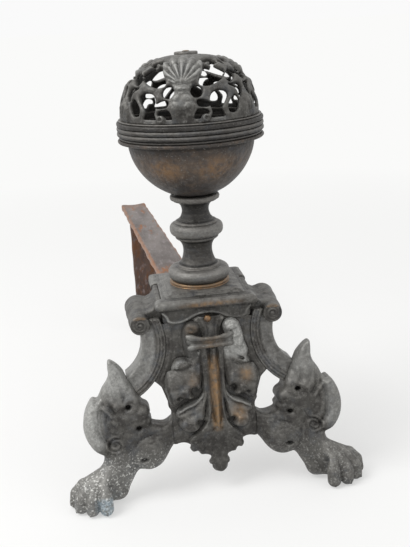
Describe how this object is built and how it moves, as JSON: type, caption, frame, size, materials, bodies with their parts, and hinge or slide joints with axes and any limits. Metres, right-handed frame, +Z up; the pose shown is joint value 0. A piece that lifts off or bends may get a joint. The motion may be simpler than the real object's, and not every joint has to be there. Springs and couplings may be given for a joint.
{
  "type": "andiron",
  "caption": "Andiron with a pierced ball finial on a turned baluster, a scrolled plinth, an acanthus front on lion-paw legs, and a flat iron bar with a rear leg.",
  "frame": {"origin": "on the floor under the middle of the footprint box", "axes": "+Z up; the ornamented front faces -Y; the bar runs back along +Y; +X to the right seen from the front"},
  "size_m": [0.3018, 0.5813, 0.4283],
  "materials": {
    "patinated_bronze": "dark brown-grey patina with a dry pale dust in the hollows",
    "worn_bronze": "patinated bronze rubbed back to copper-coloured metal",
    "wrought_iron": "forged bar, grey-purple scale with orange rust at the edges",
    "iron_hardware": "rusted iron rod, nuts, washers and screws"
  },
  "bodies": {
    "stand": {"bowl": "patinated_bronze", "bowl_collar": "patinated_bronze", "stem_upper": "patinated_bronze", "stem_lower": "patinated_bronze", "stem_base": "patinated_bronze", "base_ring": "worn_bronze", "tie_rod": "iron_hardware", "rod_nuts": "iron_hardware", "rod_washers": "iron_hardware", "plinth": "patinated_bronze", "console_left": "patinated_bronze", "console_right": "patinated_bronze", "center_panel": "patinated_bronze", "leaf_upper": "patinated_bronze", "leaf_lower": "patinated_bronze", "leaf_midrib": "worn_bronze", "leaf_clasp": "patinated_bronze", "leaf_bead": "worn_bronze", "leg_left": "patinated_bronze", "leg_right": "patinated_bronze", "leg_screws": "iron_hardware", "billet_bar": "wrought_iron", "rear_leg": "wrought_iron"},
    "lid": {"lid_dome": "patinated_bronze", "lid_belt": "patinated_bronze", "crown_plate": "patinated_bronze", "crown_rivet": "worn_bronze"}
  },
  "joints": [
    {"name": "lid_lift", "type": "slide", "parent": "stand", "child": "lid", "axis": [0, 0, 1], "range_m": [0, 0.075]}
  ]
}
